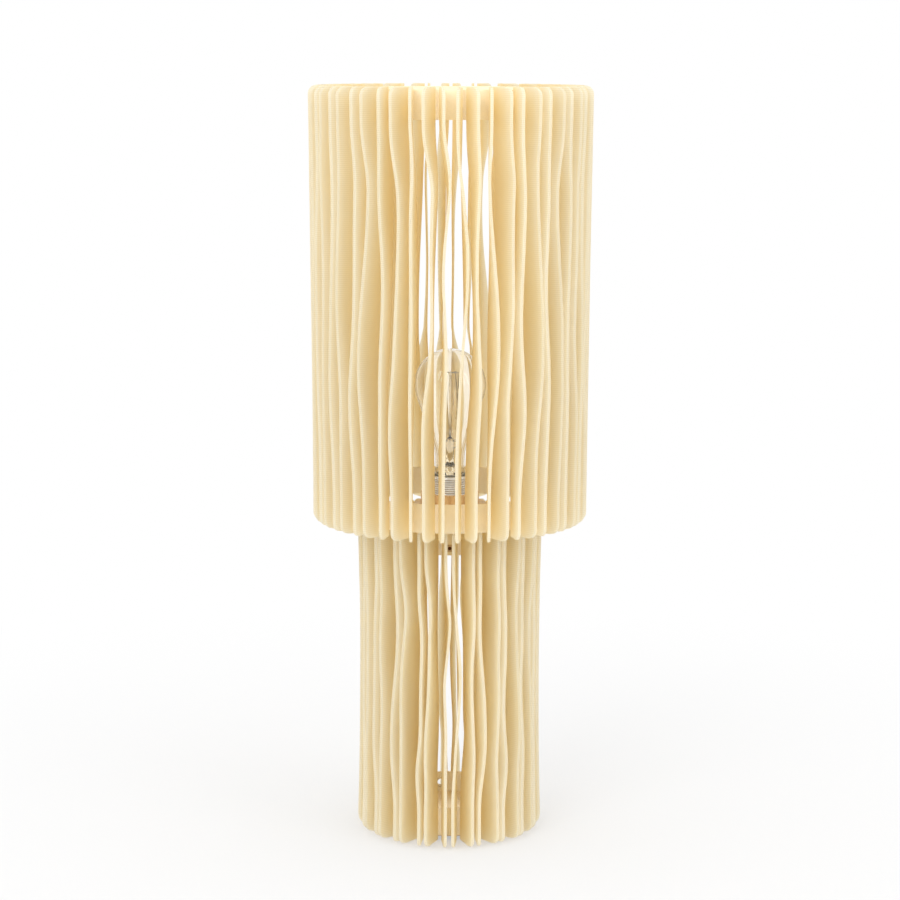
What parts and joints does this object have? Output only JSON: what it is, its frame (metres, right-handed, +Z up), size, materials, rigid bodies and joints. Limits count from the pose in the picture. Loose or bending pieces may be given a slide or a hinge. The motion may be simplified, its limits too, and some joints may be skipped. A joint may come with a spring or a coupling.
{
  "type": "table lamp",
  "caption": "Table lamp with a tall drum shade and a slimmer column, both of upright pleated paper leaves on inner hoops, round a clear long bulb.",
  "frame": {"origin": "middle of the base, on the surface that the lamp stands on", "axes": "+Z up along the lamp, -Y towards the pictured side"},
  "size_m": [0.2501, 0.2497, 0.6685],
  "materials": {
    "paper": "cream ribbed paper, matt and slightly translucent",
    "hoop_board": "cream board, matt",
    "plywood": "pale birch plywood, sealed matt",
    "weight_steel": "cream powder coat, matt",
    "screw_steel": "zinc-plated, satin",
    "bronzed_screw": "bronzed, dark and satin",
    "zinc_steel": "zinc-plated, satin",
    "rubber": "black moulded rubber, matt",
    "pale_rubber": "cream moulded rubber, matt",
    "holder_metal": "nickel-plated, satin",
    "holder_insulator": "white glazed insulator",
    "brass": "bare brass, satin",
    "ring_plastic": "amber moulded plastic, satin",
    "clear_glass": "clear blown glass, polished",
    "cap_metal": "nickel-plated, satin",
    "black_insulator": "black vitrified insulator",
    "filament_wire": "carbon-brown fine wire",
    "support_wire": "drawn wire, satin"
  },
  "bodies": {
    "base": {"base_leaves_1": "paper", "base_leaves_2": "paper", "base_leaves_3": "paper", "base_leaves_4": "paper", "base_leaves_5": "paper", "base_leaves_6": "paper", "base_leaves_7": "paper", "base_lower_hoop": "hoop_board", "base_upper_hoop": "hoop_board", "cord_grommet": "pale_rubber", "crosspiece": "plywood", "holder_cap": "holder_metal", "holder_contact": "brass", "holder_insert": "holder_insulator", "holder_screw_shell": "brass", "holder_skirt": "holder_metal", "nipple": "zinc_steel", "nipple_nut": "zinc_steel", "nipple_washers": "zinc_steel", "plate_screws": "screw_steel", "rubber_feet": "rubber", "tenon_screws": "bronzed_screw", "terminal_screws": "brass", "weight_plate": "weight_steel"},
    "shade": {"shade_leaves_1": "paper", "shade_leaves_2": "paper", "shade_leaves_3": "paper", "shade_leaves_4": "paper", "shade_leaves_5": "paper", "shade_leaves_6": "paper", "shade_leaves_7": "paper", "shade_leaves_8": "paper", "shade_leaves_9": "paper", "shade_lower_hoop": "hoop_board", "shade_upper_hoop": "hoop_board", "shade_carrier": "plywood", "carrier_screws": "screw_steel"},
    "shade_ring": {"shade_ring": "ring_plastic"},
    "bulb": {"bulb_glass": "clear_glass", "bulb_stem": "clear_glass", "bulb_cap": "cap_metal", "bulb_cap_insulator": "black_insulator", "bulb_cap_tip": "brass", "filament": "filament_wire", "filament_supports": "support_wire", "lead_wires": "support_wire"}
  },
  "joints": [
    {"name": "shade_turn", "type": "hinge", "parent": "base", "child": "shade", "pos_m": [0, 0, 0.293], "axis": [0, 0, 1], "continuous": true},
    {"name": "shade_ring_turn", "type": "hinge", "parent": "base", "child": "shade_ring", "pos_m": [0, 0, 0.298], "axis": [0, 0, 1], "continuous": true},
    {"name": "bulb_lift", "type": "slide", "parent": "base", "child": "bulb", "axis": [0, 0, 1], "range_m": [0, 0.375]}
  ]
}
